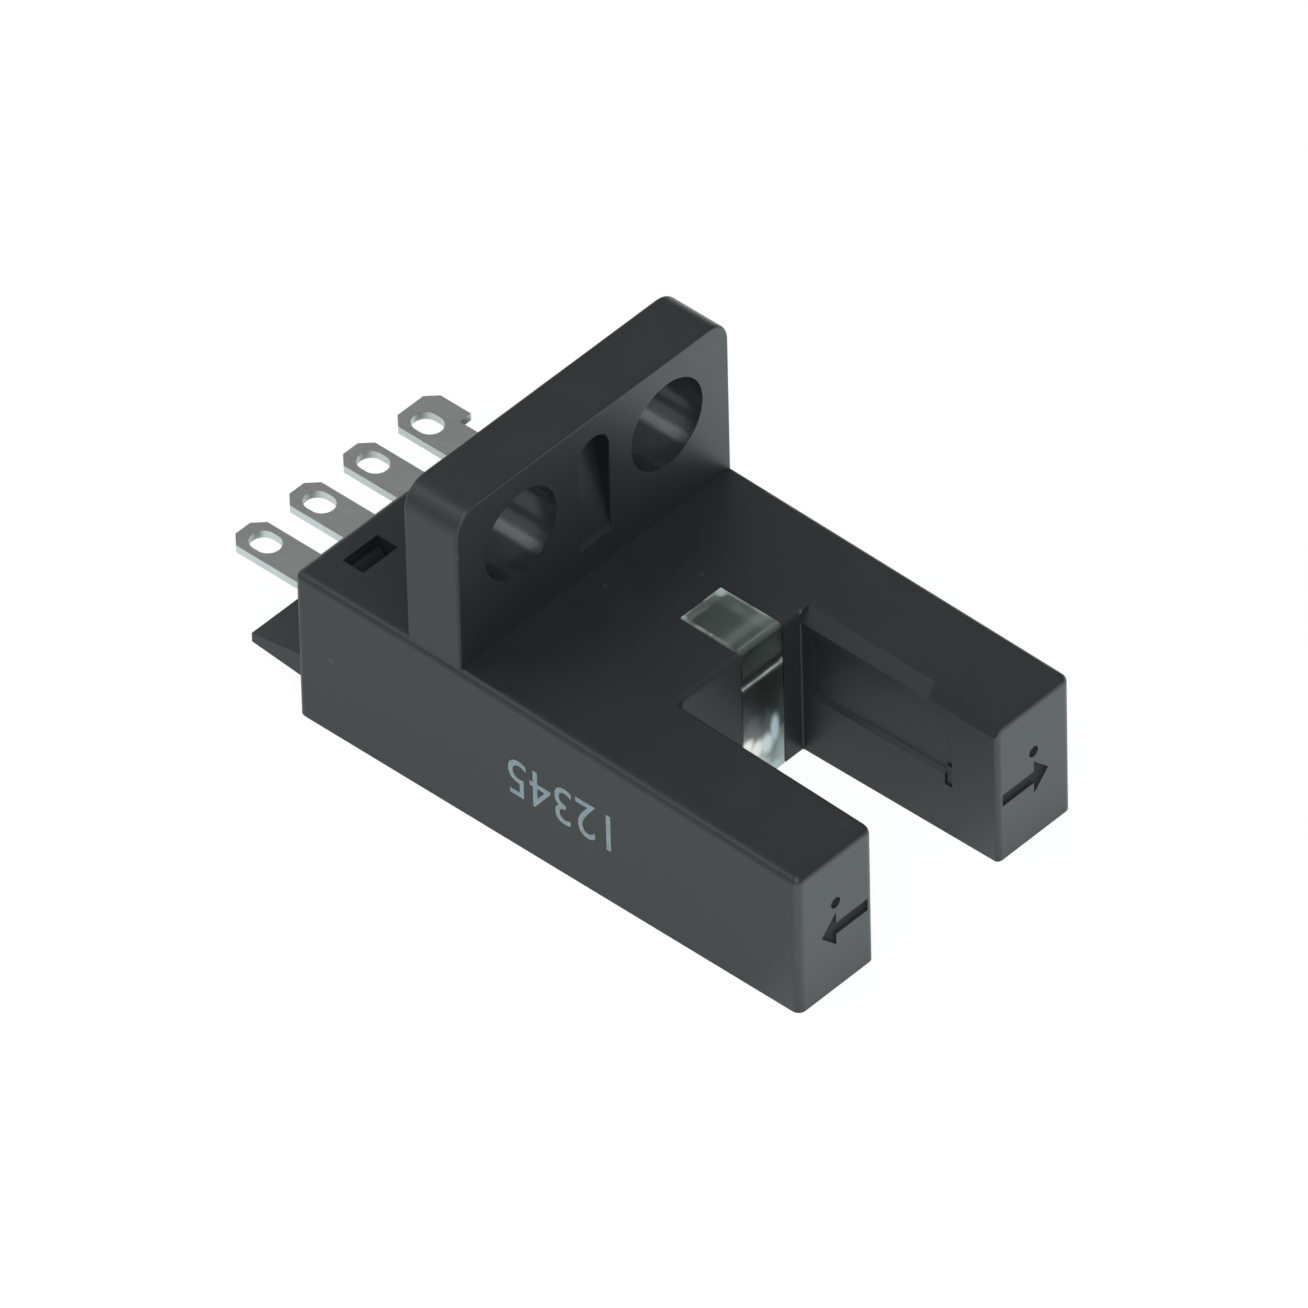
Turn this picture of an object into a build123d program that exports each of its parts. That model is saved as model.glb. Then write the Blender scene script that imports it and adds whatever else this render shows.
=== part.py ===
"""Fork photoelectric sensor with a flange mount and solder terminals, in millimetres.

X runs along the sensor towards the fork tips, Y across the slot, and Z up from the flat underside.
The origin is on the underside, below the middle of the whole length from terminal ends to fork tips.
"""
import os
from build123d import *

# Housing, one black moulding
body_length = 20.6
body_width = 12.34
body_height = 5.83
tip_drop = 0.38
side_wall = 0.8
floor_wall = 0.8
roof_wall = 1.0
end_wall = 1.1
tip_wall = 0.6
arm_wall = 0.64
edge_radius = 0.28

# Fork slot
slot_depth = 7.9
slot_width_inside = 5.5
slot_width_mouth = 5.64
slot_rim_radius = 0.2
far_bevel_inside = (0.38, 0.45)
far_bevel_mouth = (0.25, 0.42)
near_end_radius = 0.22
far_end_radius = 0.06
corner_radius = 0.06
seam_setback = 2.75
seam_step = 0.05

# Shallow recess with a sloping ledge along the inner side of each arm
recess_depth = 0.14
recess_top = 4.9
recess_bottom = 2.5
ledge_foot = 2.36
recess_start = 0.45

# Light beam and the slits that it passes
beam_setback = 1.98
beam_height = 2.4
slit_width = 0.3
slit_height = 0.8

# Mounting flange
flange_setback = 4.66
flange_thickness = 2.18
flange_width = 12.2
flange_top = 11.95
flange_corner = 0.9
flange_edge = 0.1
foot_radius = 0.75
screw_hole_radius = 1.6
screw_spacing = 6.58
screw_height = 9.44
arch_width = 1.4
arch_top = 11.1
arch_foot = 6.9
arch_depth = 0.9

# Windows in the roof where the terminal base snaps in
snap_setback = 0.83
snap_length = 0.86
snap_width = 1.55
snap_spacing = 8.15

# Mark on each tip: a plain arrow along the beam and a dimple
mark_depth = 0.12
mark_bar = 0.46
mark_length = 2.3
mark_head = 1.3
mark_dimple = 0.2

# Clear light guide of the indicator
guide_length = 2.54
guide_width = 1.9
guide_centre = 1.0
guide_block = 1.55
guide_strip = 0.7
guide_bend = 0.15
guide_lip = 0.35

# Solder terminals
terminal_count = 4
terminal_pitch = 2.42
terminal_width = 1.42
terminal_thickness = 0.28
terminal_height = 2.85
terminal_reach = 4.56
terminal_inside = 4.3
terminal_chamfer = 0.38
eye_setback = 0.96
eye_length = 1.1
eye_width = 0.9
wide_head = 0.5
wide_head_length = 1.65
wide_head_setback = 0.04

# Terminal base that closes the rear
base_recess = 0.3
base_length = 1.9
shelf_reach = 2.22
shelf_width = 11.6
shelf_bottom = 1.13
shelf_thick = 0.92
shelf_tip_bottom = 1.34
shelf_tip_thick = 0.35
lug_height = 0.6
lug_land = 0.15

# Circuit board and its rails
board_thickness = 0.8
rail_width = 0.3

# Emitter and receiver packages
package_length = 2.5
package_height = 2.9
lens_radius = 0.7
lens_rise = 0.25
lead_width = 0.36
lead_thickness = 0.15
lead_pitch = 0.7
lead_length = 1.9
filter_length = 2.3
filter_thickness = 0.4
filter_height = 2.6
nose_setback = 0.06

# Parts on the board, as (along, across, up)
led_size = (1.6, 0.8, 0.6)
led_lens_length = 0.96
lens_draft = 5
amplifier_size = (3.0, 3.0, 0.85)
transistor_size = (1.3, 2.9, 0.95)
diode_size = (1.4, 2.4, 0.9)
resistor_size = (0.8, 1.6, 0.45)
capacitor_size = (0.8, 1.6, 0.8)
metal_end = 0.3
metal_skin = 0.03
chip_leg_width = 0.3
chip_leg_length = 0.4
chip_leg_thickness = 0.15
chip_stand = 0.12
amplifier_leg_rows = 4
leg_pitch = 0.65
transistor_leg_pitch = 0.95

# Clearances, and how far a cut runs past the piece
slide_gap = 0.05
board_gap = 0.1
lens_gap = 0.08
past = 1.0

# Places that follow from the sizes above
rear_x = (terminal_reach - body_length) / 2
tip_x = rear_x + body_length
slot_end_x = tip_x - slot_depth
cavity_front_x = slot_end_x - end_wall
flange_rear_x = rear_x + flange_setback
flange_front_x = flange_rear_x + flange_thickness
slope_x = (flange_rear_x + flange_front_x) / 2
beam_x = tip_x - beam_setback
seam_x = tip_x - seam_setback
side_y = body_width / 2
cavity_y = side_y - side_wall
cavity_top = body_height - roof_wall
tip_height = body_height - tip_drop
arm_cavity_y = slot_width_mouth / 2 + arm_wall
arm_room = cavity_y - arm_cavity_y
guide_rear_x = slot_end_x - guide_length
board_top = terminal_height
board_bottom = board_top - board_thickness
base_rear_x = rear_x + base_recess
base_front_x = base_rear_x + base_length
board_rear_x = base_front_x + slide_gap
board_front_x = cavity_front_x - board_gap
board_y = cavity_y - board_gap
board_arm_width = arm_room - 2 * board_gap
package_rear_x = beam_x - package_length / 2
package_thickness = arm_room - slide_gap - lens_rise - lens_gap - filter_thickness
board_arm_x = package_rear_x - board_gap
guide_y = (guide_centre - guide_width / 2, guide_centre + guide_width / 2)
guide_bottom = body_height - guide_block
terminal_rear_x = rear_x - terminal_reach
terminal_end_x = rear_x + terminal_inside


def top_at(x):
    """Height of the top at x, which slopes down from under the flange to the tips."""
    return body_height - tip_drop * (x - slope_x) / (tip_x - slope_x)


def slot_y(x):
    """Half width of the slot at x, which opens towards the mouth."""
    share = (x - slot_end_x) / slot_depth
    return (slot_width_inside + (slot_width_mouth - slot_width_inside) * share) / 2


def block(x, y, z, mode=Mode.ADD):
    """Box between a low and a high value along each axis."""
    with Locations(((x[0] + x[1]) / 2, (y[0] + y[1]) / 2, (z[0] + z[1]) / 2)):
        Box(x[1] - x[0], y[1] - y[0], z[1] - z[0], mode=mode)


def mirrored(low, high, side):
    """The range low to high on the +Y side, or its mirror image on the -Y side."""
    return (low, high) if side > 0 else (-high, -low)


with BuildPart() as flange:
    with BuildSketch(Plane.YZ.offset(flange_rear_x)):
        with Locations((0, (cavity_top + flange_top) / 2)):
            Rectangle(flange_width, flange_top - cavity_top)
    extrude(amount=flange_thickness)
    fillet(flange.edges().filter_by(Axis.X).group_by(Axis.Z)[-1], flange_corner)
    upper = flange.edges().filter_by(lambda e: e.center().Z > cavity_top + flange_edge)
    fillet(upper.group_by(Axis.X)[0] + upper.group_by(Axis.X)[-1], flange_edge)


with BuildPart() as foot:
    with BuildSketch(Plane.XZ) as foot_profile:
        foot_end_x = flange_front_x + 2 * foot_radius
        foot_z = top_at(flange_front_x)
        foot_top = foot_z + 2 * foot_radius
        with BuildLine():
            Polyline((flange_front_x - foot_radius, cavity_top), (foot_end_x, cavity_top),
                     (foot_end_x, top_at(foot_end_x)), (flange_front_x, foot_z),
                     (flange_front_x, foot_top), (flange_front_x - foot_radius, foot_top), close=True)
        make_face()
        fillet(foot_profile.vertices().sort_by_distance((flange_front_x, 0, foot_z))[0], foot_radius)
    extrude(amount=flange_width / 2 - flange_edge, both=True)


with BuildPart() as arch:
    with BuildSketch(Plane.YZ.offset(flange_rear_x)):
        arch_centre = arch_top - arch_width / 2
        with Locations((0, (arch_foot + arch_centre) / 2)):
            Rectangle(arch_width, arch_centre - arch_foot)
        with Locations((0, arch_centre)):
            Circle(arch_width / 2)
    extrude(amount=flange_thickness + past)
    # Its floor slopes forward and runs out in the front face above the foot
    with BuildSketch(Plane.XZ):
        with BuildLine():
            Polyline((flange_front_x, arch_foot), (flange_front_x + past, arch_foot),
                     (flange_front_x + past, arch_top + past), (flange_front_x - arch_depth, arch_top + past),
                     (flange_front_x - arch_depth, arch_top), close=True)
        make_face()
    extrude(amount=arch_width, both=True, mode=Mode.INTERSECT)


with BuildPart() as housing:
    with BuildSketch(Plane.XZ):
        with BuildLine():
            Polyline((rear_x, 0), (tip_x, 0), (tip_x, tip_height), (slope_x, body_height),
                     (rear_x, body_height), close=True)
        make_face()
    extrude(amount=side_y, both=True)
    # The edges around the underside lie in the parting plane of the mould and stay sharp
    fillet(housing.edges().filter_by(lambda e: e.center().Z > 0), edge_radius)

    # The slot, wider at its mouth, with rounded corners at its end and at the tips
    with BuildSketch() as slot_plan:
        with BuildLine():
            mouth_x = tip_x - corner_radius
            mouth_y = slot_y(mouth_x)
            outer_y = mouth_y + corner_radius
            Line((slot_end_x, slot_y(slot_end_x)), (mouth_x, mouth_y))
            RadiusArc((mouth_x, mouth_y), (tip_x, outer_y), corner_radius)
            Polyline((tip_x, outer_y), (tip_x + past, outer_y), (tip_x + past, -outer_y), (tip_x, -outer_y))
            RadiusArc((tip_x, -outer_y), (mouth_x, -mouth_y), corner_radius)
            Polyline((mouth_x, -mouth_y), (slot_end_x, -slot_y(slot_end_x)), (slot_end_x, slot_y(slot_end_x)))
        make_face()
        end_corners = slot_plan.vertices().group_by(Axis.X)[0].sort_by(Axis.Y)
        fillet(end_corners[0], near_end_radius)
        fillet(slot_plan.vertices().sort_by_distance(end_corners[-1])[0], far_end_radius)
    extrude(amount=body_height + past, mode=Mode.SUBTRACT)

    # Rounded upper edge of the slot along its end and the -Y arm
    rim = housing.edges().filter_by(
        lambda e: e.center().Z > tip_height + slot_rim_radius / 4 and slot_end_x - slide_gap < e.center().X < mouth_x
        and abs(e.center().Y) < mouth_y + slide_gap and e.center().Y < slot_y(slot_end_x) - 2 * far_end_radius)
    fillet(rim, slot_rim_radius)

    # A parting step near the tip on the outer side of the +Y arm
    block((seam_x, tip_x + past), (side_y - seam_step, side_y + past),
          (-past, body_height + past), mode=Mode.SUBTRACT)

    # Flange with a rounded foot, two screw holes and an arched recess in its front face
    add(flange.part)
    add(foot.part)
    with BuildSketch(Plane.YZ.offset(flange_rear_x)):
        with Locations((-screw_spacing / 2, screw_height), (screw_spacing / 2, screw_height)):
            Circle(screw_hole_radius)
    extrude(amount=flange_thickness, mode=Mode.SUBTRACT)
    add(arch.part, mode=Mode.SUBTRACT)

    # Hollow body, hollow arms and the rails that the board rests on
    block((rear_x, cavity_front_x), (-cavity_y, cavity_y), (floor_wall, cavity_top), mode=Mode.SUBTRACT)
    for side in (1, -1):
        block((cavity_front_x, tip_x - tip_wall), mirrored(arm_cavity_y, cavity_y, side),
              (floor_wall, cavity_top), mode=Mode.SUBTRACT)
        block((board_rear_x, board_front_x), mirrored(cavity_y - rail_width, cavity_y, side),
              (floor_wall, board_bottom))

    # Recess, ledge and slit in the inner side of each arm, as (distance into the wall, height)
    panel_start_x = slot_end_x + recess_start
    slit_x = beam_x - slit_width / 2
    air = -recess_depth
    panel = [(air, recess_top), (recess_depth, recess_top), (recess_depth, recess_bottom),
             (air, recess_bottom)]
    ledge = [(air, recess_bottom), (recess_depth, recess_bottom), (0, ledge_foot), (air, ledge_foot)]
    for side in (1, -1):
        for points, last_x in ((panel, slit_x + slit_width), (ledge, slit_x)):
            for x in (panel_start_x, last_x):
                with BuildSketch(Plane.YZ.offset(x)):
                    with BuildLine():
                        Polyline([(side * (slot_y(x) + depth), z) for depth, z in points], close=True)
                    make_face()
            loft(mode=Mode.SUBTRACT)
        block((slit_x, slit_x + slit_width), mirrored(slot_y(beam_x) - past, arm_cavity_y, side),
              (beam_height - slit_height / 2, beam_height + slit_height / 2), mode=Mode.SUBTRACT)

    # Bevel along the upper inner edge of the +Y arm, as (width, height), narrower past the seam
    for first_x, last_x, (wide, high) in ((slot_end_x, seam_x, far_bevel_inside),
                                          (seam_x, tip_x + past, far_bevel_mouth)):
        for x in (first_x, last_x):
            corner_y = slot_y(x) - wide
            with BuildSketch(Plane.YZ.offset(x)):
                with BuildLine():
                    Polyline((corner_y, top_at(x) - 2 * high), (corner_y + 3 * wide, top_at(x) + high),
                             (corner_y, top_at(x) + high), close=True)
                make_face()
        loft(mode=Mode.SUBTRACT)

    # Windows for the lugs and for the light guide
    for side in (1, -1):
        block((rear_x + snap_setback, rear_x + snap_setback + snap_length),
              mirrored((snap_spacing - snap_width) / 2, (snap_spacing + snap_width) / 2, side),
              (cavity_top, body_height), mode=Mode.SUBTRACT)
    block((guide_rear_x, slot_end_x), guide_y, (cavity_top, body_height), mode=Mode.SUBTRACT)
    block((cavity_front_x, slot_end_x), guide_y, (guide_bottom - slide_gap, body_height), mode=Mode.SUBTRACT)
    block((slot_end_x - guide_strip - slide_gap, slot_end_x), guide_y, (0, body_height), mode=Mode.SUBTRACT)

    # Arrow and dimple cut in each tip
    bar_y = slot_y(tip_x) + mark_bar / 2
    point_y = slot_y(tip_x) + mark_length
    neck_y = point_y - mark_head / 2
    arrow = [(bar_y, mark_bar / 2), (neck_y, mark_bar / 2), (neck_y, mark_head / 2), (point_y, 0),
             (neck_y, -mark_head / 2), (neck_y, -mark_bar / 2), (bar_y, -mark_bar / 2)]
    for side in (1, -1):
        with BuildSketch(Plane.YZ.offset(tip_x)):
            with BuildLine():
                Polyline([(side * y, beam_height + z) for y, z in arrow], close=True)
            make_face()
            with Locations((side * neck_y, beam_height + mark_head / 2 + 2 * mark_dimple)):
                Circle(mark_dimple)
        extrude(amount=-mark_depth, mode=Mode.SUBTRACT)


with BuildPart() as indicator_window:
    guide_top = top_at(guide_rear_x)
    with BuildSketch(Plane.XZ.offset(-guide_centre)):
        with BuildLine():
            RadiusArc((slot_end_x - guide_bend, guide_top), (slot_end_x, guide_top - guide_bend), guide_bend)
            Polyline((slot_end_x, guide_top - guide_bend), (slot_end_x, 0), (slot_end_x - guide_strip, 0),
                     (slot_end_x - guide_strip, guide_bottom), (guide_rear_x - guide_lip, guide_bottom),
                     (guide_rear_x - guide_lip, cavity_top - slide_gap),
                     (guide_rear_x + slide_gap, cavity_top - slide_gap),
                     (guide_rear_x + slide_gap, guide_top), (slot_end_x - guide_bend, guide_top))
        make_face()
    extrude(amount=guide_width / 2 - slide_gap, both=True)


def terminal(index):
    """Flat solder terminal with an eye; the last is shorter, with a head that is wider on its +Y side."""
    centre = terminal_y(index)
    last = index == terminal_count - 1
    rear_end_x = terminal_rear_x + (wide_head_setback if last else 0)
    with BuildPart() as blade:
        with BuildSketch(Plane.XY.offset(terminal_height)):
            with Locations(((rear_end_x + terminal_end_x) / 2, centre)):
                Rectangle(terminal_end_x - rear_end_x, terminal_width)
            if last:
                with Locations((rear_end_x + wide_head_length / 2, centre + wide_head / 2)):
                    Rectangle(wide_head_length, terminal_width + wide_head)
        extrude(amount=terminal_thickness)
        chamfer(blade.edges().filter_by(Axis.Z).group_by(Axis.X)[0], terminal_chamfer)
        with BuildSketch(Plane.XY.offset(terminal_height)):
            with Locations((rear_end_x + eye_setback, centre)):
                SlotOverall(eye_length, eye_width)
        extrude(amount=terminal_thickness, mode=Mode.SUBTRACT)
    return blade.part


def terminal_y(index):
    """Middle of a terminal across the row."""
    return (index - (terminal_count - 1) / 2) * terminal_pitch


with BuildPart() as terminal_base:
    base_y = cavity_y - slide_gap
    block((base_rear_x, base_front_x), (-base_y, base_y), (floor_wall + slide_gap, cavity_top - slide_gap))
    # Shelf behind the housing, thinner towards its free edge, and its tongue through the rear opening
    with BuildSketch(Plane.XZ):
        with BuildLine():
            Polyline((rear_x - shelf_reach, shelf_tip_bottom), (rear_x, shelf_bottom),
                     (rear_x, shelf_bottom + shelf_thick),
                     (rear_x - shelf_reach, shelf_tip_bottom + shelf_tip_thick), close=True)
        make_face()
    extrude(amount=shelf_width / 2, both=True)
    block((rear_x, base_rear_x), (-base_y, base_y), (shelf_bottom, shelf_bottom + shelf_thick))
    # Snap lugs that rise into the windows of the roof
    lug_rear_x = rear_x + snap_setback + slide_gap
    lug_front_x = rear_x + snap_setback + snap_length - slide_gap
    for side in (1, -1):
        with BuildSketch(Plane.XZ.offset(-side * snap_spacing / 2)):
            with BuildLine():
                Polyline((lug_rear_x, cavity_top - 2 * slide_gap), (lug_front_x, cavity_top - 2 * slide_gap),
                         (lug_rear_x + lug_land, cavity_top + lug_height), (lug_rear_x, cavity_top + lug_height),
                         close=True)
            make_face()
        extrude(amount=snap_width / 2 - slide_gap, both=True)
    for index in range(terminal_count):
        block((terminal_rear_x, terminal_end_x),
              (terminal_y(index) - terminal_width / 2, terminal_y(index) + terminal_width / 2),
              (terminal_height, terminal_height + terminal_thickness), mode=Mode.SUBTRACT)


with BuildPart() as circuit_board:
    block((board_rear_x, board_front_x), (-board_y, board_y), (board_bottom, board_top))
    for side in (1, -1):
        block((board_front_x, board_arm_x), mirrored(board_y - board_arm_width, board_y, side),
              (board_bottom, board_top))


def package(side, domed):
    """Moulded optical package across the arm, with a lens towards the slot that is domed or flat."""
    outer = cavity_y - slide_gap
    inner = outer - package_thickness
    with BuildPart() as body:
        block((package_rear_x, package_rear_x + package_length), mirrored(inner, outer, side),
              (beam_height - package_height / 2, beam_height + package_height / 2))
        chamfer(body.edges().filter_by(Axis.Y), 2 * slide_gap)
        with BuildSketch(Plane.XZ.offset(-side * inner)):
            with Locations((beam_x, beam_height)):
                Circle(lens_radius)
        extrude(amount=side * lens_rise)
        if domed:
            rings = body.edges().filter_by(GeomType.CIRCLE).sort_by(Axis.Y)
            fillet(rings[0] if side > 0 else rings[-1], lens_rise - slide_gap)
    return body.part


def leads(side):
    """Pair of flat leads from the back of a package onto the board arm."""
    middle = board_y - board_arm_width / 2
    with BuildPart() as pair:
        for offset in (-lead_pitch / 2, lead_pitch / 2):
            low = middle + offset - lead_width / 2
            block((package_rear_x - lead_length, package_rear_x), mirrored(low, low + lead_width, side),
                  (board_top, board_top + lead_thickness))
    return pair.part


def filter_plate(side):
    """Infrared-pass plate against the inner wall of the arm, with a nose that fills most of the slit."""
    with BuildPart() as plate:
        block((beam_x - filter_length / 2, beam_x + filter_length / 2),
              mirrored(arm_cavity_y, arm_cavity_y + filter_thickness, side),
              (beam_height - filter_height / 2, beam_height + filter_height / 2))
        chamfer(plate.edges().filter_by(Axis.Y), 2 * slide_gap)
        nose_x = slit_width / 2 - slide_gap
        nose_z = slit_height / 2 - slide_gap
        block((beam_x - nose_x, beam_x + nose_x), mirrored(slot_y(beam_x) + nose_setback, arm_cavity_y, side),
              (beam_height - nose_z, beam_height + nose_z))
    return plate.part


def capped_chip(size, x, y):
    """Passive part with a metal cap at each end, flat on the board."""
    along, across, up = size
    with BuildPart() as chip:
        block((x - along / 2, x + along / 2), (y - across / 2, y + across / 2),
              (board_top + metal_skin, board_top + up - metal_skin))
        for end in (-1, 1):
            cap_y = y + end * (across - metal_end) / 2
            block((x - along / 2 - metal_skin, x + along / 2 + metal_skin),
                  (cap_y - metal_end / 2, cap_y + metal_end / 2), (board_top, board_top + up))
    return chip.part


def leaded_chip(size, x, y, rear_legs, front_legs):
    """Moulded chip with flat legs, given as their offsets along Y at its -X and +X sides."""
    along, across, up = size
    with BuildPart() as chip:
        block((x - along / 2, x + along / 2), (y - across / 2, y + across / 2),
              (board_top + chip_stand, board_top + up))
        chamfer(chip.edges().group_by(Axis.Z)[-1], chip_stand)
        for end, offsets in ((-1, rear_legs), (1, front_legs)):
            for offset in offsets:
                leg_x = x + end * (along - chip_stand + chip_leg_length) / 2
                leg_half = (chip_leg_length + chip_stand) / 2
                block((leg_x - leg_half, leg_x + leg_half),
                      (y + offset - chip_leg_width / 2, y + offset + chip_leg_width / 2),
                      (board_top, board_top + chip_leg_thickness))
    return chip.part


# Columns and rows of the parts on the board, from its rear to its front and from its middle outwards
leg_column_x = terminal_end_x + chip_leg_length + 2 * board_gap
front_column_x = board_front_x - resistor_size[0] / 2 - 2 * board_gap
second_column_x = front_column_x - resistor_size[0] - 4 * board_gap
inner_column_x = guide_rear_x - resistor_size[0] / 2 - 2 * board_gap
outer_row_y = board_y - resistor_size[1] / 2 - 2 * board_gap
inner_row_y = outer_row_y - resistor_size[1] - 2 * board_gap
side_chip_y = (amplifier_size[1] / 2 + board_y) / 2

amplifier_legs = [(row - (amplifier_leg_rows - 1) / 2) * leg_pitch for row in range(amplifier_leg_rows)]
amplifier_chip = leaded_chip(amplifier_size, leg_column_x + amplifier_size[0] / 2, 0,
                             amplifier_legs, amplifier_legs)
output_transistor = leaded_chip(transistor_size, leg_column_x + transistor_size[0] / 2, side_chip_y,
                                (0,), (-transistor_leg_pitch, transistor_leg_pitch))
protection_diode = leaded_chip(diode_size, leg_column_x + diode_size[0] / 2, -side_chip_y, (0,), (0,))

with BuildPart() as indicator_led:
    led_middle = board_top + led_size[2] / 2
    led_x = board_front_x - led_size[0] / 2 - 2 * board_gap
    block((led_x - led_size[0] / 2, led_x + led_size[0] / 2),
          (guide_centre - led_size[1] / 2, guide_centre + led_size[1] / 2), (board_top, led_middle))
    with BuildSketch(Plane.XY.offset(led_middle)):
        with Locations((led_x, guide_centre)):
            Rectangle(led_lens_length, led_size[1])
    extrude(amount=board_top + led_size[2] - led_middle, taper=lens_draft)

pieces = {
    "housing": housing.part,
    "indicator_window": indicator_window.part,
    "terminal_base": terminal_base.part,
    "circuit_board": circuit_board.part,
    "emitter": package(-1, domed=True),
    "emitter_leads": leads(-1),
    "emitter_filter": filter_plate(-1),
    "receiver": package(1, domed=False),
    "receiver_leads": leads(1),
    "receiver_filter": filter_plate(1),
    "amplifier_chip": amplifier_chip,
    "output_transistor": output_transistor,
    "protection_diode": protection_diode,
    "indicator_led": indicator_led.part,
    "chip_resistor_1": capped_chip(resistor_size, front_column_x, -outer_row_y),
    "chip_resistor_2": capped_chip(resistor_size, inner_column_x, -inner_row_y),
    "chip_resistor_3": capped_chip(resistor_size, inner_column_x, inner_row_y),
    "chip_resistor_4": capped_chip(resistor_size, front_column_x, outer_row_y),
    "chip_capacitor_1": capped_chip(capacitor_size, second_column_x, -outer_row_y),
    "chip_capacitor_2": capped_chip(capacitor_size, second_column_x, outer_row_y),
}
for index in range(terminal_count):
    pieces[f"terminal_{index + 1}"] = terminal(index)

os.makedirs("parts", exist_ok=True)
for name, piece in pieces.items():
    piece.label = name
    export_step(piece, f"parts/{name}.step")
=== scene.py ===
"""Looks of the fork photoelectric sensor: finishes, printed number, studio and camera.

Everything is in metres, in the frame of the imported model: X towards the fork tips, Y across the slot,
Z up from the flat underside, and the near side at -Y. Lists of flecks, glints and ovals are in mm.
"""
import math

import bpy
import numpy as np
from mathutils import Matrix, Vector


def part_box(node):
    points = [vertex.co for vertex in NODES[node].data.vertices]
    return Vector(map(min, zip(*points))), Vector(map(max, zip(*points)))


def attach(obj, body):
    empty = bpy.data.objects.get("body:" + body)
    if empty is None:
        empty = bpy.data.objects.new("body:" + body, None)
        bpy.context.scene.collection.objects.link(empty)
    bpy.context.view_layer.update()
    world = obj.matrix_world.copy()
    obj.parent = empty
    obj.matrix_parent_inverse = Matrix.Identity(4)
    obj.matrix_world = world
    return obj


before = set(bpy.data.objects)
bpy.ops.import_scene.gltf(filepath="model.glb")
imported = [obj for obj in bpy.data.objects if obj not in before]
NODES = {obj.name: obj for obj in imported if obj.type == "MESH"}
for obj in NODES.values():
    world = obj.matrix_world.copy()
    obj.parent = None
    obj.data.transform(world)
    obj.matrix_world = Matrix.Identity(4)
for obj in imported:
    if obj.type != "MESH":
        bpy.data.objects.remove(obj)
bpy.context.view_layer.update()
MM = 0.001

# Places read from the frame
HOUSING_LOW, HOUSING_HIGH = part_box("housing")
GUIDE_LOW, GUIDE_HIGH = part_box("indicator_window")
REAR_X = HOUSING_LOW.x
NEAR_Y = HOUSING_LOW.y

# Camera, found from the photograph: the point that it looks at, its direction, turn and distance, the
# photograph's scale, and how far its middle lies left of and above that point, in pixels
CAMERA_TARGET = Vector((2.06 * MM, 0.0, 3.0 * MM))
CAMERA_AZIMUTH = math.radians(43.284)
CAMERA_ELEVATION = math.radians(42.228)
CAMERA_ROLL = math.radians(-1.428)
CAMERA_DISTANCE = 833.3 * MM
CAMERA_CLIP = (0.05, 10.0)
PHOTO_PIXELS = 1308
PIXELS_PER_METRE = 32942
TARGET_RIGHT = 23.1
TARGET_DOWN = 29.4

# Black plastic: shades, roughness and flow clouds, and a grain drawn some three times as coarse as the
# real one, so that it shows
PLASTIC_SHADES = ("#26292a", "#2f3132")
PLASTIC_ROUGHNESS = (0.38, 0.46)
PLASTIC_CLOUDS = 2.381 * MM
PLASTIC_GRAIN = 0.1111 * MM
# Width over which one finish of the plastic, or its painted shade, passes into the next
SOFT_EDGE = 0.02 * MM

# Flecks of dust and a gate mark, and one painted glint on the near front edge of the flange, as (centre,
# reach) in mm
FLECKS_AND_GLINT = (
    ((1.39, 1.93, 5.74), 0.11), ((-0.46, -0.41, 5.78), 0.1), ((11.96, -3.31, 5.41), 0.12),
    ((-1.2, -6.05, 10.3), 0.12), ((-6.54, -6.15, 3.0), 0.16), ((-6.1, -2.2, 5.78), 0.07),
    ((5.2, 4.4, 5.6), 0.06), ((9.1, -4.9, 5.5), 0.05), ((-2.4, 1.3, 11.75), 0.07),
)
FLECK_AND_GLINT_COLOUR = "#4c5152"
FLECK_AND_GLINT_LEVEL = 0.5

# Boxes on the plastic, as ranges along X, off the middle in Y and up Z: the rougher floor of the marks cut
# in the tips, and the recess between the screw holes, painted darker as painted shade
MARK_DEPTH = 0.12 * MM
MARK_BOX = (
    (HOUSING_HIGH.x - 1.5 * MARK_DEPTH, HOUSING_HIGH.x - 0.5 * MARK_DEPTH),
    (2.95 * MM, 5.75 * MM),
    (1.5 * MM, 3.8 * MM),
)
MARK_COLOUR = "#2e3132"
MARK_ROUGHNESS = 0.95
FLANGE_FRONT_X = REAR_X + 6.84 * MM
RECESS_SHADE_BOX = (
    (FLANGE_FRONT_X - 0.92 * MM, FLANGE_FRONT_X - 0.05 * MM),
    (-0.8 * MM, 0.8 * MM),
    (6.9 * MM, 11.15 * MM),
)
RECESS_SHADE_COLOUR = "#191b1c"

# Screw holes: their axes off the middle and up, radius, and how far round them their polish fades out
HOLE_Y = 3.29 * MM
HOLE_Z = 9.44 * MM
HOLE_RADIUS = 1.6 * MM
HOLE_FADE = 0.03 * MM
HOLE_ROUGHNESS = 0.2
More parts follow.
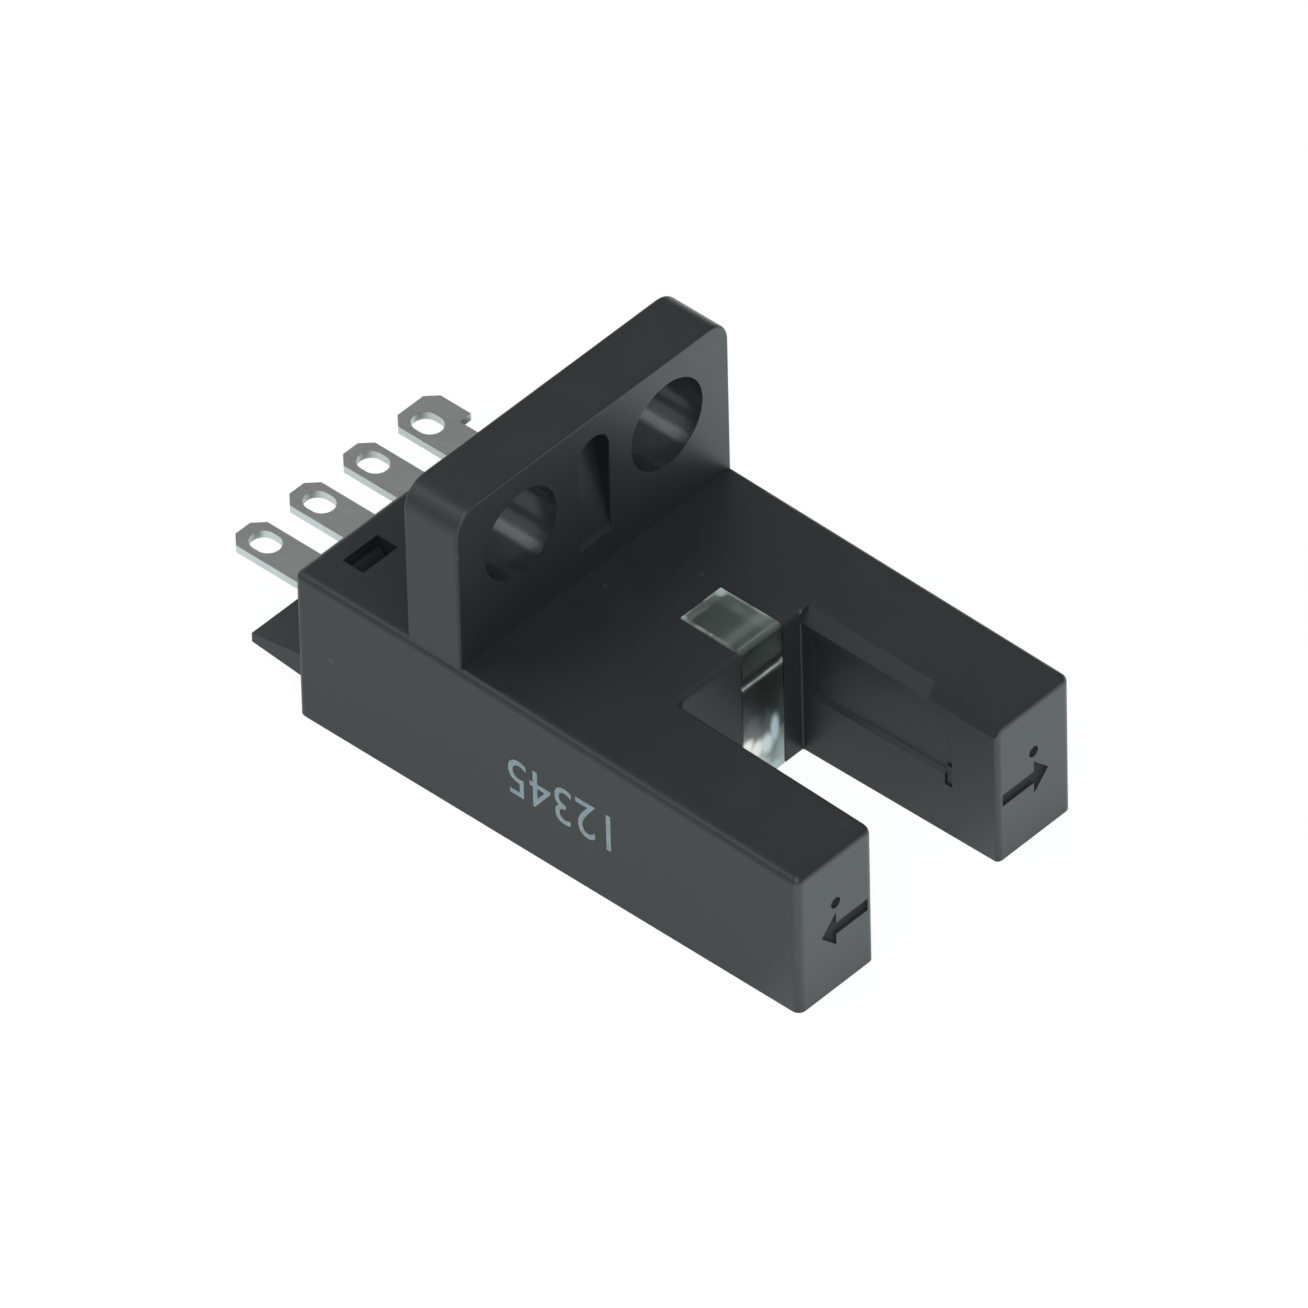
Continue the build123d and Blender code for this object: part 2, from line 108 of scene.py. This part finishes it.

# Light guide: its middle and half width, the width of its rims of painted glow and the lip at the rear of
# its pad, its step and front face, and the sizes of its ripple and waves
GUIDE_MIDDLE = (GUIDE_LOW.y + GUIDE_HIGH.y) / 2
GUIDE_HALF = (GUIDE_HIGH.y - GUIDE_LOW.y) / 2
GUIDE_RIM = 0.07 * MM
GUIDE_PAD_REAR = GUIDE_LOW.x + 0.4 * MM
GUIDE_STEP = 4.28 * MM
GUIDE_PAD = (GUIDE_STEP, GUIDE_STEP + 0.05 * MM)
GUIDE_FRONT = (GUIDE_HIGH.x - 0.1 * MM, GUIDE_HIGH.x - 0.05 * MM)
GUIDE_RIPPLE = 0.7692 * MM
GUIDE_WAVES = 1.111 * MM
# Its ranges, as (low, high, softness). Along X: the flat of the pad, and the band of painted glow where
# the pad slopes to its front. Up Z: the painted highlight line at the step, and the strip below it and the
# facet above it, both painted dark as painted shade
GUIDE_FLAT = (GUIDE_LOW.x, 4.25 * MM, 0.2 * MM)
GUIDE_GLOW_BAND = (3.75 * MM, 4.25 * MM, 0.15 * MM)
GUIDE_STEP_HIGHLIGHT = (GUIDE_STEP - 0.13 * MM, GUIDE_STEP + 0.02 * MM, 0.05 * MM)
GUIDE_STRIP_SHADE = (1.6 * MM, 4.1 * MM, 0.12 * MM)
GUIDE_FACET_SHADE = (4.35 * MM, 5.75 * MM, 0.12 * MM)
# Its painted glints, as (centre, reach, level), and the ovals of painted glow at its foot, as (Y and Z of
# the centre, reach across, reach up, level), all in mm
GUIDE_GLINTS = (
    ((2.3, 1.78, 5.8), 0.36, 0.9), ((2.22, 0.1, 5.8), 0.26, 0.75), ((2.6, 0.04, 5.8), 0.18, 0.5),
    ((3.4, 0.05, 5.8), 0.2, 0.9), ((4.68, 1.82, 4.3), 0.16, 0.6),
)
GUIDE_OVALS = (
    ((0.25, 1.7), 0.42, 0.5, 1.0), ((0.7, 1.35), 0.5, 0.55, 1.0), ((1.15, 1.3), 0.45, 0.65, 0.95),
    ((1.5, 1.75), 0.3, 0.85, 0.9), ((0.5, 0.4), 1.1, 1.0, 1.0), ((1.75, 0.5), 0.5, 0.8, 0.35),
    ((0.55, 2.35), 0.55, 0.6, 0.16),
)
# Levels of the painted glow that it gives off, though it is no lamp: the band, all rims and glints, and
# the foot at -Y and +Y
BAND_GLOW_LEVEL = 0.2
RIM_GLOW = 0.3
FOOT_GLOW = (0.55, 0.35)

# Tin plate: shades, roughness, clouds, and rolling lines, drawn coarse enough to show and several
# times as long as wide
TIN_SHADES = ("#d5d9d5", "#e5e8e5")
TIN_ROUGHNESS = (0.22, 0.36)
TIN_CLOUDS = 0.9091 * MM
TIN_LINE = 0.1111 * MM
TIN_SQUEEZE = 0.12

# Printed number on the near side: where it starts from the rear end, and its length, foot and height
NUMBER_TEXT = "12345"
NUMBER_START = 8.78 * MM
NUMBER_LENGTH = 4.2 * MM
NUMBER_FOOT = 2.06 * MM
NUMBER_HEIGHT = 1.46 * MM
INK_THICKNESS = 0.006 * MM

# Paper: half width, white for the lamps, own white and share of lamplight for the camera, and the grey,
# tint and glow in reflections, whose glow rises over a stretch ahead of the tips and one at the far side:
# a painted pool of light on the paper
PAPER_REACH = 0.6
PAPER_WHITE = 0.8
PAPER_SEEN = 0.93
PAPER_SHADOW = 0.12
PAPER_GREY = 0.5
PAPER_TINT = (0.93, 1.0, 1.02)
PAPER_GLOW = (0.46, 1.3)
PAPER_AHEAD = (10.5 * MM, 14.0 * MM)
PAPER_BESIDE = (6.0 * MM, 13.0 * MM)
# Sky, as (X of a direction, level) at the bright rear and where it has turned dim
SKY_REAR = (-0.85, 0.72)
SKY_FRONT = (-0.58, 0.21)
# Lamps, as (name, direction, distance, size, power)
LAMPS = (
    ("soft_box", (-0.508, -0.448, 0.737), 0.5, 0.16, 0.21),
    ("top_lamp", (0.1, 0.0, 1.0), 0.4, 0.6, 0.3),
    ("fill_lamp", (0.55, -0.47, 0.69), 0.5, 0.3, 1.3),
    ("side_glow", (-0.508, -0.7, 0.5), 0.5, 0.26, 0.17),
)

# Sockets of a Mix node: the share of the second input, its two values, its two colours, its colour out
MIX_SHARE = 0
VALUE_A, VALUE_B = 2, 3
COLOUR_A, COLOUR_B = 6, 7
COLOUR_OUT = 2
# Share of a patch's reach over which it keeps its level
PATCH_CORE = 0.3


def linear(code):
    """Linear RGBA of an sRGB hex colour."""
    parts = [int(code[i:i + 2], 16) / 255 for i in (1, 3, 5)]
    return tuple(c / 12.92 if c <= 0.04045 else ((c + 0.055) / 1.055) ** 2.4 for c in parts) + (1.0,)


def add(tree, kind, values=None, links=None, **settings):
    """Adds a node with its settings, its socket values and the links into its sockets."""
    made = tree.nodes.new(kind)
    for name, value in settings.items():
        setattr(made, name, value)
    for socket, value in (values or {}).items():
        made.inputs[socket].default_value = value
    for socket, source in (links or {}).items():
        tree.links.new(source, made.inputs[socket])
    return made


def new_material(name):
    """An empty node material: the material, its tree, its output node and its object coordinates."""
    made = bpy.data.materials.new(name)
    made.use_nodes = True
    tree = made.node_tree
    tree.nodes.clear()
    place = add(tree, "ShaderNodeTexCoord").outputs["Object"]
    return made, tree, add(tree, "ShaderNodeOutputMaterial"), place


def close_material(tree, output, values, links):
    """Closes a material with one Principled surface."""
    surface = add(tree, "ShaderNodeBsdfPrincipled", values, links)
    tree.links.new(surface.outputs["BSDF"], output.inputs["Surface"])


def folded(tree, operation, values):
    """Several values folded into one by an operation on two at a time."""
    total = values[0]
    for value in values[1:]:
        total = add(tree, "ShaderNodeMath", links={0: total, 1: value}, operation=operation).outputs[0]
    return total


def product(tree, *values):
    """The product of values: of masks, where all of them hold."""
    return folded(tree, "MULTIPLY", values)


def largest(tree, *values):
    """The largest of values: of lights, the brightest."""
    return folded(tree, "MAXIMUM", values)


def band(tree, value, low, high, soft):
    """One between low and high, with soft ends, and nought outside."""
    rise = add(tree, "ShaderNodeMapRange", {"From Min": low - soft, "From Max": low + soft}, {"Value": value})
    fall = add(tree, "ShaderNodeMapRange",
               {"From Min": high - soft, "From Max": high + soft, "To Min": 1.0, "To Max": 0.0},
               {"Value": value})
    return product(tree, rise.outputs[0], fall.outputs[0])


def inside(tree, axes, box):
    """One inside a box, given as its range on each axis, with soft faces, and nought outside."""
    return product(tree, *(band(tree, value, *reach, SOFT_EDGE) for value, reach in zip(axes, box)))


def patch(tree, place, centre, reach, level, edge="SMOOTHSTEP"):
    """A soft round patch, its centre and reach in mm: its level in the core, nothing beyond its reach."""
    away = add(tree, "ShaderNodeVectorMath", {1: [c * MM for c in centre]}, {0: place}, operation="DISTANCE")
    return add(tree, "ShaderNodeMapRange",
               {"From Min": PATCH_CORE * reach * MM, "From Max": reach * MM, "To Min": level, "To Max": 0.0},
               {"Value": away.outputs["Value"]}, interpolation_type=edge).outputs[0]


def painted(tree, ground, coats):
    """A ground colour under coats, each a mask and the colour that shows where the mask is one.

    A colour is an sRGB hex code, or a socket that carries one.
    """
    colour = ground
    for mask, coat in coats:
        values, links = {}, {MIX_SHARE: mask}
        for socket, shade in ((COLOUR_A, colour), (COLOUR_B, coat)):
            if isinstance(shade, str):
                values[socket] = linear(shade)
            else:
                links[socket] = shade
        colour = add(tree, "ShaderNodeMix", values, links, data_type="RGBA").outputs[COLOUR_OUT]
    return colour


def axes_of(tree, place, middle=0.0):
    """The three coordinates of a place, and its distance in Y from a middle plane."""
    along, across, up = add(tree, "ShaderNodeSeparateXYZ", links={"Vector": place}).outputs
    shifted = add(tree, "ShaderNodeMath", {1: middle}, {0: across}, operation="SUBTRACT").outputs[0]
    off = add(tree, "ShaderNodeMath", links={0: shifted}, operation="ABSOLUTE").outputs[0]
    return along, across, up, off


def black_pbt():
    """Moulded PBT with glass fibre, black: a spark-eroded grain gives a wide, dark sheen.

    The walls of the screw holes come off polished core pins and show the soft box as a crisp bar. The
    marks in the tips are rough from the engraving tool, and the recess is painted darker, as painted shade.
    """
    made, tree, output, place = new_material("black_pbt")
    along, _, up, off = axes_of(tree, place)
    grain = add(tree, "ShaderNodeTexNoise", {"Scale": 1 / PLASTIC_GRAIN, "Detail": 2.0}, {"Vector": place})
    clouds = add(tree, "ShaderNodeTexNoise", {"Scale": 1 / PLASTIC_CLOUDS, "Detail": 4.0},
                 {"Vector": place}).outputs["Fac"]
    # Flecks of dust and a gate mark, and one painted glint on the flange's near front edge
    flecks = [(patch(tree, place, centre, reach, FLECK_AND_GLINT_LEVEL, "LINEAR"), FLECK_AND_GLINT_COLOUR)
              for centre, reach in FLECKS_AND_GLINT]
    # The recess box is painted shade: a darker colour where shade falls in the recess
    mark, recess = (inside(tree, (along, off, up), box) for box in (MARK_BOX, RECESS_SHADE_BOX))
    colour = painted(tree, PLASTIC_SHADES[0],
                     [(clouds, PLASTIC_SHADES[1]), *flecks, (mark, MARK_COLOUR), (recess, RECESS_SHADE_COLOUR)])
    # Distance from the axis of the nearer hole, in the plane of the flange
    in_flange = add(tree, "ShaderNodeCombineXYZ", links={"X": off, "Y": up}).outputs[0]
    spoke = add(tree, "ShaderNodeVectorMath", {1: (HOLE_Y, HOLE_Z, 0.0)}, {0: in_flange},
                operation="DISTANCE").outputs["Value"]
    polished = add(tree, "ShaderNodeMapRange",
                   {"From Min": HOLE_RADIUS, "From Max": HOLE_RADIUS + HOLE_FADE, "To Min": 1.0,
                    "To Max": 0.0}, {"Value": spoke}).outputs[0]
    smoothest, roughest = PLASTIC_ROUGHNESS
    rough = add(tree, "ShaderNodeMapRange", {"To Min": smoothest, "To Max": roughest},
                {"Value": clouds}).outputs[0]
    for mask, roughness in ((polished, HOLE_ROUGHNESS), (mark, MARK_ROUGHNESS)):
        rough = add(tree, "ShaderNodeMix", {VALUE_B: roughness}, {MIX_SHARE: mask, VALUE_A: rough}).outputs[0]
    bump = add(tree, "ShaderNodeBump", {"Strength": 0.25, "Distance": 0.012 * MM},
               {"Height": grain.outputs["Fac"]})
    close_material(tree, output, {"IOR": 1.5},
                   {"Base Color": colour, "Roughness": rough, "Normal": bump.outputs["Normal"]})
    return made


def guide_glow(tree, place, ripple, front):
    """Painted glow on the guide above its foot: the brightest of rims, glints, band and step line.

    The rims run along both sides and the rear of the pad. Rims and step line are uneven by the ripple.
    """
    along, _, up, off = axes_of(tree, place, GUIDE_MIDDLE)
    pad = add(tree, "ShaderNodeMapRange", {"From Min": GUIDE_PAD[0], "From Max": GUIDE_PAD[1]},
              {"Value": up}).outputs[0]
    sides, rear = (band(tree, value, edge - GUIDE_RIM, edge + GUIDE_RIM, GUIDE_RIM / 2)
                   for value, edge in ((off, GUIDE_HALF), (along, GUIDE_PAD_REAR)))
    uneven = add(tree, "ShaderNodeMapRange",
                 {"From Min": 0.38, "From Max": 0.62, "To Min": 0.1, "To Max": 0.6},
                 {"Value": ripple}).outputs[0]
    rims = product(tree, largest(tree, sides, rear), pad, band(tree, along, *GUIDE_FLAT), uneven)
    glints = [patch(tree, place, *glint) for glint in GUIDE_GLINTS]
    band_glow = add(tree, "ShaderNodeMath", {1: BAND_GLOW_LEVEL},
                    {0: product(tree, band(tree, along, *GUIDE_GLOW_BAND), pad)}, operation="MULTIPLY").outputs[0]
    broken = add(tree, "ShaderNodeMapRange",
                 {"From Min": 0.3, "From Max": 0.6, "To Min": 0.4, "To Max": 1.0},
                 {"Value": ripple}).outputs[0]
    # Painted highlight: a broken line of light along the step at the front
    step_highlight = product(tree, band(tree, up, *GUIDE_STEP_HIGHLIGHT), front, broken)
    return largest(tree, rims, *glints, band_glow, step_highlight)


def guide_foot_glow(tree, place):
    """Painted white glow at the foot of the guide: the brightest of several soft ovals in the Y-Z plane.

    An oval is a round patch of reach one on a place whose Y and Z are divided by the oval's reaches.
    """
    ovals = []
    for (y, z), wide, high, level in GUIDE_OVALS:
        squeezed = add(tree, "ShaderNodeVectorMath", {1: (0.0, 1 / wide, 1 / high)}, {0: place},
                       operation="MULTIPLY").outputs[0]
        ovals.append(patch(tree, squeezed, (0.0, y / wide, z / high), 1.0, level))
    return largest(tree, *ovals)


def clear_polycarbonate():
    """Moulded clear polycarbonate: a grey-green pad with painted glow at its rims, a strip painted dark as
    painted shade, and a bright painted glow at its foot.

    The guide is no lamp: the glow at the foot, the rims, the glints, the band and the step is painted light,
    given off as emission.
    """
    made, tree, output, place = new_material("clear_polycarbonate")
    along, across, up = add(tree, "ShaderNodeSeparateXYZ", links={"Vector": place}).outputs
    ripple = add(tree, "ShaderNodeTexNoise", {"Scale": 1 / GUIDE_RIPPLE, "Detail": 3.0, "Distortion": 0.6},
                 {"Vector": place}).outputs["Fac"]
    front = add(tree, "ShaderNodeMapRange", {"From Min": GUIDE_FRONT[0], "From Max": GUIDE_FRONT[1]},
                {"Value": along}).outputs[0]
    glow = guide_glow(tree, place, ripple, front)
    foot = guide_foot_glow(tree, place)
    # Milky where the painted glow is, and faintly so elsewhere; the rest is clear
    haze = add(tree, "ShaderNodeMapRange", {"To Min": 0.07, "To Max": 0.15}, {"Value": ripple}).outputs[0]
    clear = add(tree, "ShaderNodeMath", {0: 1.0}, {1: largest(tree, glow, foot, haze)}, operation="SUBTRACT",
                use_clamp=True).outputs[0]
    # The painted glow at the foot is warm towards -Y and bluish towards +Y
    tint = add(tree, "ShaderNodeMapRange",
               {"From Min": GUIDE_MIDDLE - GUIDE_HALF / 2, "From Max": GUIDE_MIDDLE + GUIDE_HALF / 2},
               {"Value": across}).outputs[0]
    foot_glow_colour = painted(tree, "#f2f2ec", [(tint, "#bfd2d8")])
    # Painted shade: the strip is painted dark for the black wall seen behind it, and the facet above it for
    # its own black step
    strip, facet = (product(tree, band(tree, up, *heights), front) for heights in (GUIDE_STRIP_SHADE, GUIDE_FACET_SHADE))
    colour = painted(tree, "#aab6b1", [(strip, "#3a403e"), (facet, "#575e5b"), (foot, foot_glow_colour)])
    # Painted glow given off as emission, though the guide is no lamp: at the foot, fading across it, and at
    # the rims, glints, band and step line
    fade = add(tree, "ShaderNodeMapRange",
               {"From Min": GUIDE_LOW.y, "From Max": GUIDE_HIGH.y, "To Min": FOOT_GLOW[0],
                "To Max": FOOT_GLOW[1]}, {"Value": across}).outputs[0]
    rim_light = add(tree, "ShaderNodeMath", {1: RIM_GLOW}, {0: glow}, operation="MULTIPLY").outputs[0]
    painted_glow = largest(tree, product(tree, foot, fade), rim_light)
    waves = add(tree, "ShaderNodeTexNoise", {"Scale": 1 / GUIDE_WAVES, "Detail": 1.0}, {"Vector": place})
    bump = add(tree, "ShaderNodeBump", {"Strength": 0.2, "Distance": 0.03 * MM},
               {"Height": waves.outputs["Fac"]})
    close_material(tree, output, {"IOR": 1.585, "Roughness": 0.3, "Specular IOR Level": 0.25},
                   {"Base Color": colour, "Transmission Weight": clear, "Emission Color": colour,
                    "Emission Strength": painted_glow, "Normal": bump.outputs["Normal"]})
    return made


def tinned_brass():
    """Rolled brass strip, tin-plated: a soft grey mirror with fine rolling lines along the blade."""
    made, tree, output, place = new_material("tinned_brass")
    squeezed = add(tree, "ShaderNodeMapping", {"Scale": (TIN_SQUEEZE, 1.0, 1.0)},
                   {"Vector": place}).outputs["Vector"]
    lines = add(tree, "ShaderNodeTexNoise", {"Scale": 1 / TIN_LINE, "Detail": 3.0},
                {"Vector": squeezed}).outputs["Fac"]
    clouds = add(tree, "ShaderNodeTexNoise", {"Scale": 1 / TIN_CLOUDS, "Detail": 2.0},
                 {"Vector": place}).outputs["Fac"]
    colour = painted(tree, TIN_SHADES[0], [(clouds, TIN_SHADES[1])])
    smoothest, roughest = TIN_ROUGHNESS
    rough = add(tree, "ShaderNodeMapRange", {"To Min": smoothest, "To Max": roughest},
                {"Value": lines}).outputs[0]
    bump = add(tree, "ShaderNodeBump", {"Strength": 0.05, "Distance": 0.004 * MM}, {"Height": lines})
    close_material(tree, output, {"Metallic": 1.0},
                   {"Base Color": colour, "Roughness": rough, "Normal": bump.outputs["Normal"]})
    return made


def mottled(name, low, high, size, roughness, **sockets):
    """A plain material whose colour wanders between two shades over spots of the given size."""
    made, tree, output, place = new_material(name)
    spots = add(tree, "ShaderNodeTexNoise", {"Scale": 1 / size, "Detail": 2.0},
                {"Vector": place}).outputs["Fac"]
    bump = add(tree, "ShaderNodeBump", {"Strength": 0.15, "Distance": 0.01 * MM}, {"Height": spots})
    values = {socket.replace("_", " "): value for socket, value in sockets.items()}
    close_material(tree, output, {"Roughness": roughness, **values},
                   {"Base Color": painted(tree, low, [(spots, high)]), "Normal": bump.outputs["Normal"]})
    return made


def dress(names, material):
    """Gives CAD nodes a material."""
    for name in names:
        data = NODES[name].data
        data.materials.clear()
        data.materials.append(material)


def printed_number():
    """The number on the near side: text made a mesh, turned upside down and laid on the wall.

    With u and v from nought to one along and up the text, a point goes to x = start + length (1 - u),
    z = foot + height (1 - v), and y one thickness of ink off the wall.
    """
    curve = bpy.data.curves.new("number_text", "FONT")
    curve.body = NUMBER_TEXT
    curve.resolution_u = 6
    holder = bpy.data.objects.new("number_text", curve)
    bpy.context.scene.collection.objects.link(holder)
    bpy.context.view_layer.update()
    flat = bpy.data.meshes.new_from_object(holder.evaluated_get(bpy.context.evaluated_depsgraph_get()))
    bpy.data.objects.remove(holder)
    points = np.zeros(len(flat.vertices) * 3)
    flat.vertices.foreach_get("co", points)
    points = points.reshape(-1, 3)[:, :2]
    low, high = points.min(0), points.max(0)
    u, v = ((points - low) / (high - low)).T
    x = REAR_X + NUMBER_START + NUMBER_LENGTH * (1 - u)
    y = np.full(len(x), NEAR_Y - INK_THICKNESS)
    z = NUMBER_FOOT + NUMBER_HEIGHT * (1 - v)
    flat.vertices.foreach_set("co", np.stack([x, y, z], 1).ravel())
    flat.update()
    piece = bpy.data.objects.new("printed_number", flat)
    bpy.context.scene.collection.objects.link(piece)
    # Pad-printed two-part ink, pale grey and slightly thin, so that the black shows through its grain
    flat.materials.clear()
    flat.materials.append(mottled("pad_print_ink", "#7f8f97", "#a9b8be", 0.12 * MM, 0.6))
    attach(piece, "root")


def grey(level):
    """A neutral colour of that level."""
    return level, level, level, 1.0


def paper():
    """The pale paper under the sensor, which looks different to each kind of ray.

    The camera sees its own white and, in a small share of lamplight, the sensor's shadow. Reflections
    and the clear guide see a tinted grey with a glow, a painted pool of light ahead of the tips and beyond
    the far side. All other light falls on plain white paper.
    """
    made, tree, output, place = new_material("studio_floor")
    path = add(tree, "ShaderNodeLightPath").outputs
    along, across, _ = add(tree, "ShaderNodeSeparateXYZ", links={"Vector": place}).outputs
    dim, bright = PAPER_GLOW
    ahead, beside = (add(tree, "ShaderNodeMapRange",
                         {"From Min": start, "From Max": end, "To Min": dim, "To Max": bright},
                         {"Value": value}).outputs[0]
                     for (start, end), value in ((PAPER_AHEAD, along), (PAPER_BESIDE, across)))
    tinted = tuple(PAPER_GREY * c for c in PAPER_TINT) + (1.0,)
    lit_part = add(tree, "ShaderNodeBsdfDiffuse", {"Color": tinted}).outputs[0]
    glow_part = add(tree, "ShaderNodeEmission", {"Color": PAPER_TINT + (1.0,)},
                    {"Strength": largest(tree, ahead, beside)}).outputs[0]
    reflected = add(tree, "ShaderNodeAddShader", links={0: lit_part, 1: glow_part}).outputs[0]
    shadowed = add(tree, "ShaderNodeBsdfDiffuse", {"Color": grey(PAPER_SHADOW)}).outputs[0]
    white = add(tree, "ShaderNodeEmission", {"Strength": PAPER_SEEN}).outputs[0]
    seen = add(tree, "ShaderNodeAddShader", links={0: shadowed, 1: white}).outputs[0]
    plain = add(tree, "ShaderNodeBsdfDiffuse", {"Color": grey(PAPER_WHITE)}).outputs[0]
    mirrored = largest(tree, path["Is Glossy Ray"], path["Is Transmission Ray"])
    unseen = add(tree, "ShaderNodeMixShader", links={0: mirrored, 1: plain, 2: reflected}).outputs[0]
    whole = add(tree, "ShaderNodeMixShader", links={0: path["Is Camera Ray"], 1: unseen, 2: seen}).outputs[0]
    tree.links.new(whole, output.inputs["Surface"])
    data = bpy.data.meshes.new("floor")
    data.from_pydata([(x * PAPER_REACH, y * PAPER_REACH, 0) for x, y in ((-1, -1), (1, -1), (1, 1), (-1, 1))],
                     [], [(0, 1, 2, 3)])
    data.materials.append(made)
    floor = bpy.data.objects.new("floor", data)
    bpy.context.scene.collection.objects.link(floor)


def sky():
    """A grey sky, brighter at the rear, that the camera sees as white."""
    world = bpy.data.worlds.new("studio")
    world.use_nodes = True
    bpy.context.scene.world = world
    tree = world.node_tree
    tree.nodes.clear()
    way = add(tree, "ShaderNodeTexCoord").outputs["Generated"]
    along = add(tree, "ShaderNodeSeparateXYZ", links={"Vector": way}).outputs["X"]
    (rear, bright), (front, dim) = SKY_REAR, SKY_FRONT
    level = add(tree, "ShaderNodeMapRange",
                {"From Min": rear, "From Max": front, "To Min": bright, "To Max": dim},
                {"Value": along}).outputs[0]
    seen = add(tree, "ShaderNodeLightPath").outputs["Is Camera Ray"]
    light = add(tree, "ShaderNodeBackground", {"Color": grey(1.0)},
                {"Strength": largest(tree, level, seen)}).outputs[0]
    add(tree, "ShaderNodeOutputWorld", links={"Surface": light})


def lamp(name, direction, distance, size, power):
    """Square soft lamp that faces the middle of the sensor, as tinted as the paper."""
    data = bpy.data.lights.new(name, "AREA")
    data.size = size
    data.energy = power
    data.color = PAPER_TINT
    made = bpy.data.objects.new(name, data)
    away = Vector(direction).normalized()
    made.location = CAMERA_TARGET + away * distance
    made.rotation_euler = (-away).to_track_quat("-Z", "Y").to_euler()
    bpy.context.scene.collection.objects.link(made)


def camera():
    """The photograph's camera: a long lens that looks down on the near side and the fork tips."""
    back = Vector((math.cos(CAMERA_ELEVATION) * math.sin(CAMERA_AZIMUTH),
                   -math.cos(CAMERA_ELEVATION) * math.cos(CAMERA_AZIMUTH), math.sin(CAMERA_ELEVATION)))
    level = Vector((0, 0, 1)).cross(back).normalized()
    upright = back.cross(level)
    right = math.cos(CAMERA_ROLL) * level + math.sin(CAMERA_ROLL) * upright
    up = math.cos(CAMERA_ROLL) * upright - math.sin(CAMERA_ROLL) * level
    data = bpy.data.cameras.new("camera")
    data.sensor_width = 36.0
    data.lens = PIXELS_PER_METRE * CAMERA_DISTANCE * data.sensor_width / PHOTO_PIXELS
    data.clip_start, data.clip_end = CAMERA_CLIP
    eye = bpy.data.objects.new("camera", data)
    place = (CAMERA_TARGET + back * CAMERA_DISTANCE - right * (TARGET_RIGHT / PIXELS_PER_METRE)
             + up * (TARGET_DOWN / PIXELS_PER_METRE))
    turn = Matrix((right, up, back)).transposed().to_4x4()
    eye.matrix_world = Matrix.Translation(place) @ turn
    bpy.context.scene.collection.objects.link(eye)
    bpy.context.scene.camera = eye


dress(["housing", "terminal_base"], black_pbt())
dress([f"terminal_{n}" for n in range(1, 5)] + ["emitter_leads", "receiver_leads"], tinned_brass())
dress(["indicator_window"], clear_polycarbonate())
# Solder mask on glass-fibre laminate: green, slightly uneven where the weave shows through
dress(["circuit_board"], mottled("green_laminate", "#1d5a35", "#256b40", 0.3 * MM, 0.4))
# Clear moulding epoxy: a bluish, smooth block that lets some light through
dress(["emitter"], mottled("clear_epoxy", "#a9b6cf", "#bcc8dc", 0.5 * MM, 0.12, Transmission_Weight=0.6))
# Infrared-pass moulding epoxy: smooth, and black to the eye
dress(["receiver"], mottled("dark_epoxy", "#17131a", "#201a22", 0.5 * MM, 0.18))
# Infrared-pass polycarbonate: as black as the housing, and a little duller
dress(["emitter_filter", "receiver_filter"], mottled("infrared_pass", "#25272a", "#2c2e31", 0.4 * MM, 0.5))
# Epoxy moulded round the chips: matt black, finely pitted by its filler
dress(["amplifier_chip", "output_transistor", "protection_diode"],
      mottled("chip_epoxy", "#1d1d1f", "#262628", 0.05 * MM, 0.55))
# Glazed resistors: dark, with pale tinned ends
dress([f"chip_resistor_{n}" for n in range(1, 5)],
      mottled("resistor_glaze", "#2b2a2c", "#c9c6bd", 0.6 * MM, 0.35))
# Sintered ceramic of the capacitors: a dull tan
dress(["chip_capacitor_1", "chip_capacitor_2"],
      mottled("capacitor_ceramic", "#8d755a", "#a48a6c", 0.2 * MM, 0.5))
# Tinted resin lens of the diode over its white carrier: smooth, amber to white
dress(["indicator_led"], mottled("amber_lens", "#d98a5a", "#f0e6da", 0.5 * MM, 0.2))

printed_number()
paper()
sky()
for settings in LAMPS:
    lamp(*settings)
camera()
bpy.context.scene.view_settings.view_transform = "Standard"
